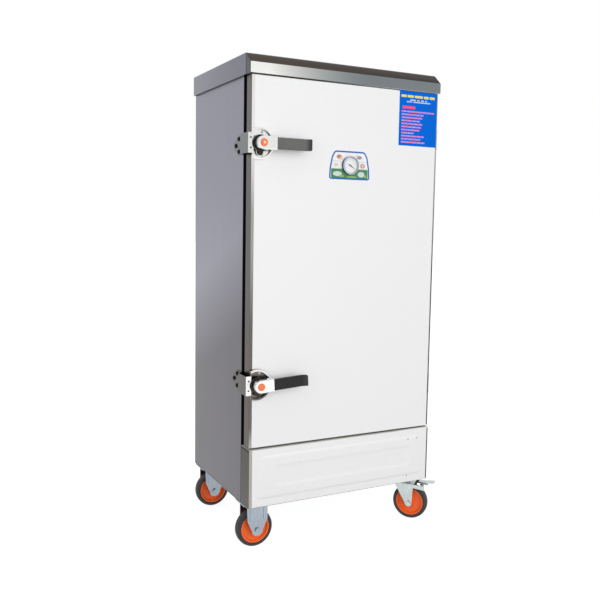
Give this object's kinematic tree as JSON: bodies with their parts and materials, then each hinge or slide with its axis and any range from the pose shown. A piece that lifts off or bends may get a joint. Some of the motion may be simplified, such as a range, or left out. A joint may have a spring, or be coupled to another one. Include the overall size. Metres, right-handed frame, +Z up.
{
  "type": "electric rice steamer",
  "caption": "Upright insulated steaming cabinet on casters, with a latched front door, sliding rice trays over a heated water tank, a dial thermometer and a float feed box.",
  "frame": {"origin": "on the floor, under the middle of the cabinet's width and of its overall depth", "axes": "+Z up; the door faces -Y; +X to the hinge side, which is the right seen from the front"},
  "size_m": [0.755, 0.6403, 1.593],
  "materials": {
    "stainless": "satin",
    "stainless_lid": "satin",
    "stainless_edge": "satin",
    "stainless_inner": "satin",
    "tray_steel": "gloss",
    "galvanised": "matte",
    "heater_sheath": "satin",
    "white_sheet": "gloss",
    "insulating_foam": "matte",
    "seal_rubber": "matte",
    "latch_chrome": "polished",
    "latch_steel": "satin",
    "grip_plastic": "satin",
    "button_orange": "gloss",
    "black_screw": "satin",
    "black_plastic": "matte",
    "dial_metal": "polished",
    "dial_glass": "gloss",
    "dial_hand_black": "matte",
    "zinc_plate": "satin",
    "hub_orange": "satin",
    "tyre": "matte",
    "brass": "satin",
    "valve_steel": "satin",
    "float_copper": "satin",
    "drain_handle_paint": "satin"
  },
  "bodies": {
    "cabinet": {"side_panel_left": "stainless", "side_panel_right": "stainless", "back_panel": "stainless", "top_lid": "stainless_lid", "visor": "stainless_lid", "chamber_liner": "stainless_inner", "foam_insulation": "insulating_foam", "base_plate": "galvanised", "caster_fasteners": "zinc_plate", "water_tank": "stainless_inner", "heating_elements": "heater_sheath", "tray_rails": "stainless_inner", "rice_trays": "tray_steel", "lower_panel": "stainless_edge", "lower_panel_face": "white_sheet", "latch_keepers": "latch_steel", "keeper_screws": "black_screw", "hinge_frame_leaves": "latch_steel", "rigid_caster_forks": "zinc_plate", "swivel_plates": "zinc_plate", "feed_box": "stainless", "feed_cover": "stainless", "float_valve": "brass", "drain_valve": "valve_steel", "steam_vent": "stainless", "terminal_box": "stainless", "cable_gland": "black_plastic"},
    "door": {"door_pan": "stainless_edge", "door_face": "white_sheet", "door_inner_panel": "stainless_inner", "door_foam": "insulating_foam", "door_gasket": "seal_rubber", "latch_bases": "latch_chrome", "latch_screws": "latch_steel", "hinge_door_leaves": "latch_steel", "thermometer_case": "dial_metal", "thermometer_lens": "dial_glass"},
    "latch_upper": {"latch_lever_upper": "latch_chrome", "latch_grip_upper": "grip_plastic"},
    "latch_lower": {"latch_lever_lower": "latch_chrome", "latch_grip_lower": "grip_plastic"},
    "button_upper": {"latch_button_upper": "button_orange"},
    "button_lower": {"latch_button_lower": "button_orange"},
    "dial_hand": {"thermometer_hand": "dial_hand_black"},
    "wheel_left_front": {"wheel_hub_left_front": "hub_orange", "tyre_left_front": "tyre"},
    "wheel_left_rear": {"wheel_hub_left_rear": "hub_orange", "tyre_left_rear": "tyre"},
    "swivel_front": {"swivel_fork_front": "zinc_plate", "swivel_axle_front": "zinc_plate"},
    "swivel_rear": {"swivel_fork_rear": "zinc_plate", "swivel_axle_rear": "zinc_plate"},
    "wheel_right_front": {"wheel_hub_right_front": "hub_orange", "tyre_right_front": "tyre"},
    "wheel_right_rear": {"wheel_hub_right_rear": "hub_orange", "tyre_right_rear": "tyre"},
    "brake_front": {"brake_pedal_front": "zinc_plate"},
    "brake_rear": {"brake_pedal_rear": "zinc_plate"},
    "float": {"float_arm": "float_copper"},
    "drain_handle": {"drain_lever": "drain_handle_paint"}
  },
  "joints": [
    {"name": "door_hinge", "type": "hinge", "parent": "cabinet", "child": "door", "pos_m": [0.358, -0.2055, 0.93975], "axis": [0, 0, 1], "range_deg": [0, 180]},
    {"name": "latch_upper_turn", "type": "hinge", "parent": "door", "child": "latch_upper", "pos_m": [-0.328, -0.2705, 1.31675], "axis": [0, 1, 0], "range_deg": [-3.5, 90]},
    {"name": "latch_lower_turn", "type": "hinge", "parent": "door", "child": "latch_lower", "pos_m": [-0.328, -0.2705, 0.56275], "axis": [0, 1, 0], "range_deg": [0, 93.5]},
    {"name": "button_upper_push", "type": "slide", "parent": "latch_upper", "child": "button_upper", "axis": [0, 1, 0], "range_m": [0, 0.004], "stiffness_N_per_m": 400},
    {"name": "button_lower_push", "type": "slide", "parent": "latch_lower", "child": "button_lower", "axis": [0, 1, 0], "range_m": [0, 0.004], "stiffness_N_per_m": 400},
    {"name": "dial_hand_turn", "type": "hinge", "parent": "door", "child": "dial_hand", "pos_m": [0, -0.2625, 1.265], "axis": [0, 1, 0], "range_deg": [-255, 15]},
    {"name": "wheel_left_front_spin", "type": "hinge", "parent": "cabinet", "child": "wheel_left_front", "pos_m": [-0.3, -0.1885, 0.0635], "axis": [0, 1, 0], "continuous": true},
    {"name": "wheel_left_rear_spin", "type": "hinge", "parent": "cabinet", "child": "wheel_left_rear", "pos_m": [-0.3, 0.2085, 0.0635], "axis": [0, 1, 0], "continuous": true},
    {"name": "swivel_front_turn", "type": "hinge", "parent": "cabinet", "child": "swivel_front", "pos_m": [0.3, -0.1885, 0.135], "axis": [0, 0, 1], "continuous": true},
    {"name": "wheel_right_front_spin", "type": "hinge", "parent": "swivel_front", "child": "wheel_right_front", "pos_m": [0.31928, -0.21148, 0.0635], "axis": [0.766, 0.6428, 0], "continuous": true},
    {"name": "brake_front_press", "type": "hinge", "parent": "swivel_front", "child": "brake_front", "pos_m": [0.34757, -0.24519, 0.127], "axis": [0.766, 0.6428, 0], "range_deg": [0, 12]},
    {"name": "swivel_rear_turn", "type": "hinge", "parent": "cabinet", "child": "swivel_rear", "pos_m": [0.3, 0.2085, 0.135], "axis": [0, 0, 1], "continuous": true},
    {"name": "wheel_right_rear_spin", "type": "hinge", "parent": "swivel_rear", "child": "wheel_right_rear", "pos_m": [0.29686, 0.23834, 0.0635], "axis": [-0.9945, -0.1045, 0], "continuous": true},
    {"name": "brake_rear_press", "type": "hinge", "parent": "swivel_rear", "child": "brake_rear", "pos_m": [0.29226, 0.28209, 0.127], "axis": [-0.9945, -0.1045, 0], "range_deg": [0, 12]},
    {"name": "float_rise", "type": "hinge", "parent": "cabinet", "child": "float", "pos_m": [-0.2728, 0.2885, 0.383], "axis": [0, -1, 0], "range_deg": [0, 20]},
    {"name": "drain_turn", "type": "hinge", "parent": "cabinet", "child": "drain_handle", "pos_m": [0.21, 0.2785, 0.242], "axis": [0, 0, -1], "range_deg": [0, 90]}
  ]
}
